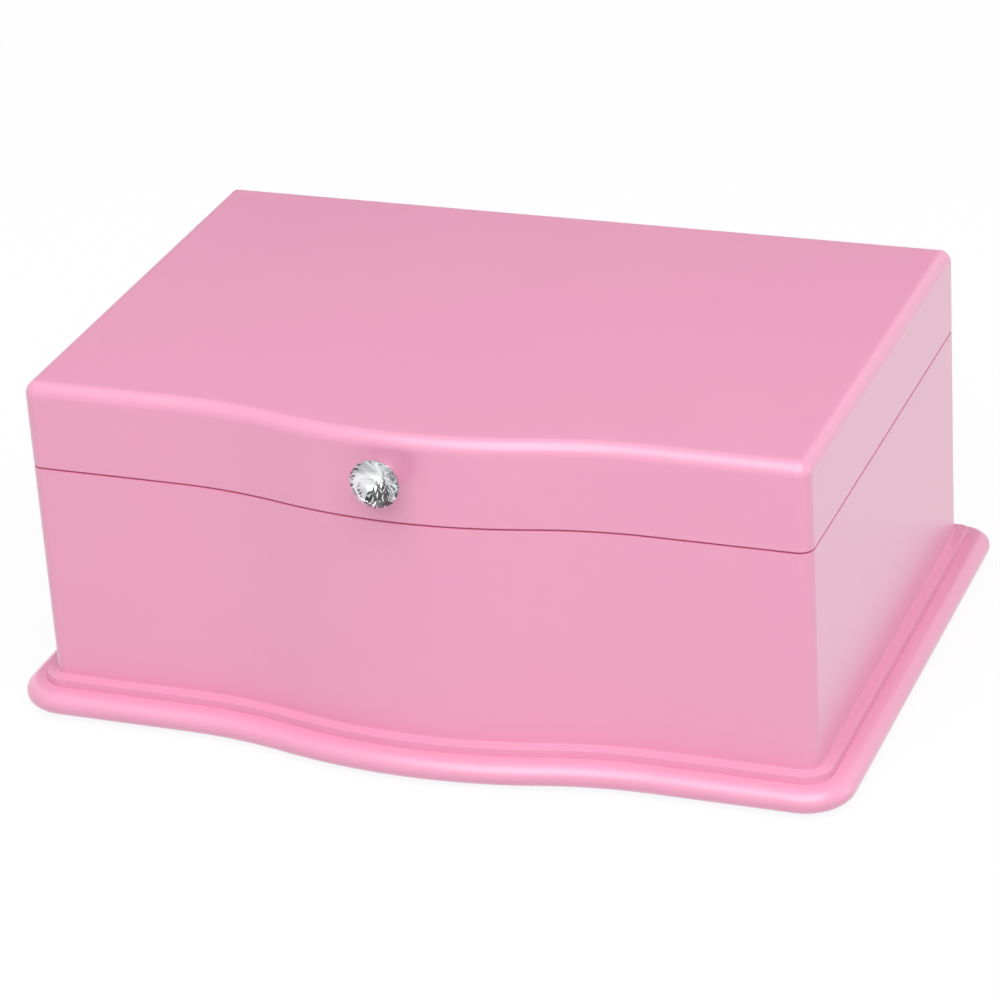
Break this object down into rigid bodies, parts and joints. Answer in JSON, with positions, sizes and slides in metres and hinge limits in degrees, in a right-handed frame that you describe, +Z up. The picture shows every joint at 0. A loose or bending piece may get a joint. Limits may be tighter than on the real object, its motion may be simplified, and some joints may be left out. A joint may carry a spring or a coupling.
{
  "type": "ballerina jewellery box",
  "caption": "Pink lacquered musical jewellery box with a serpentine front, crystal knob, mirrored hinged lid, ring rolls and a dancer turned by a wind-up movement.",
  "frame": {"origin": "middle of the footprint's bounding box, on the surface that the box stands on", "axes": "+Z up, -Y out of the front with the knob, +X to the right seen from the front"},
  "size_m": [0.2716, 0.1946, 0.1115],
  "materials": {
    "pink_lacquer": "satin lacquer over wood",
    "board": "bare wood fibre board",
    "felt": "felt",
    "flocked_board": "flocked in pale pink",
    "velvet": "velvet",
    "satin": "satin",
    "brass": "polished",
    "steel": "plain steel",
    "zinc": "zinc casting",
    "white_plastic": "moulded",
    "clear_bumper": "soft clear",
    "mirror": "silvered glass",
    "crystal": "foil-backed cut crystal",
    "chrome": "plated",
    "dancer_plastic": "painted plastic",
    "tulle": "stiff net"
  },
  "bodies": {
    "case": {"plinth_moulding": "pink_lacquer", "plinth_board": "board", "foot_pads": "felt", "underside_felt": "felt", "case_front": "pink_lacquer", "case_back": "pink_lacquer", "case_left": "pink_lacquer", "case_right": "pink_lacquer", "case_floor": "board", "long_divider": "flocked_board", "stage_walls": "flocked_board", "front_dividers": "flocked_board", "deck_cleats": "board", "stage_deck": "flocked_board", "spindle_bush": "white_plastic", "roll_base": "flocked_board", "ring_rolls": "velvet", "floor_pads": "velvet", "rim_lining": "satin", "hinge_case_leaves": "brass", "hinge_pins": "steel", "hinge_case_screws": "brass", "bedplate": "steel", "movement_screws": "steel", "comb_base": "zinc", "comb": "steel", "comb_screws": "brass", "cylinder_bearings": "brass", "governor_cock": "brass", "click_spring": "steel"},
    "lid": {"lid_top": "pink_lacquer", "lid_front": "pink_lacquer", "lid_back": "pink_lacquer", "lid_left": "pink_lacquer", "lid_right": "pink_lacquer", "lid_lining": "satin", "mirror": "mirror", "lid_bumpers": "clear_bumper", "stop_block": "board", "hinge_lid_leaves": "brass", "hinge_lid_screws": "brass", "knob_crystal": "crystal", "knob_cup": "chrome", "knob_screw": "steel"},
    "barrel": {"spring_barrel": "brass", "mainspring": "steel", "crown_wheel": "brass", "spindle": "steel", "dancer_spring": "steel", "dancer": "dancer_plastic", "tutu": "tulle"},
    "cylinder": {"cylinder_drum": "brass", "cylinder_pins": "steel", "cylinder_arbor": "steel"},
    "second_arbor": {"second_wheel": "brass"},
    "governor": {"governor": "brass"},
    "key": {"winding_arbor": "steel", "winding_key": "brass", "ratchet_wheel": "steel"},
    "stop": {"stop_rod": "steel"}
  },
  "joints": [
    {"name": "lid_hinge", "type": "hinge", "parent": "case", "child": "lid", "pos_m": [0, 0.0888, 0.0834], "axis": [-1, 0, 0], "range_deg": [0, 97]},
    {"name": "dancer_spin", "type": "hinge", "parent": "case", "child": "barrel", "pos_m": [0, 0.0415, 0.0334], "axis": [0, 0, 1], "continuous": true},
    {"name": "cylinder_spin", "type": "hinge", "parent": "case", "child": "cylinder", "pos_m": [0.02, 0.0415, 0.03137], "axis": [1, 0, 0], "continuous": true},
    {"name": "second_spin", "type": "hinge", "parent": "case", "child": "second_arbor", "pos_m": [0.04, 0.04922, 0.02673], "axis": [1, 0, 0], "continuous": true},
    {"name": "governor_spin", "type": "hinge", "parent": "case", "child": "governor", "pos_m": [0.0427, 0.05571, 0.02673], "axis": [0, 0, 1], "continuous": true},
    {"name": "key_wind", "type": "hinge", "parent": "case", "child": "key", "pos_m": [0, 0.0415, 0.008], "axis": [0, 0, 1], "continuous": true},
    {"name": "stop_slide", "type": "slide", "parent": "case", "child": "stop", "axis": [0, 0, 1], "range_m": [0, 0.0041]}
  ],
  "couplings": [
    {"joint": "cylinder_spin", "follows": "dancer_spin", "ratio": 2.4},
    {"joint": "second_spin", "follows": "dancer_spin", "ratio": -9.6},
    {"joint": "governor_spin", "follows": "dancer_spin", "ratio": 96},
    {"joint": "stop_slide", "follows": "lid_hinge", "m_per_rad": 0.0023}
  ]
}
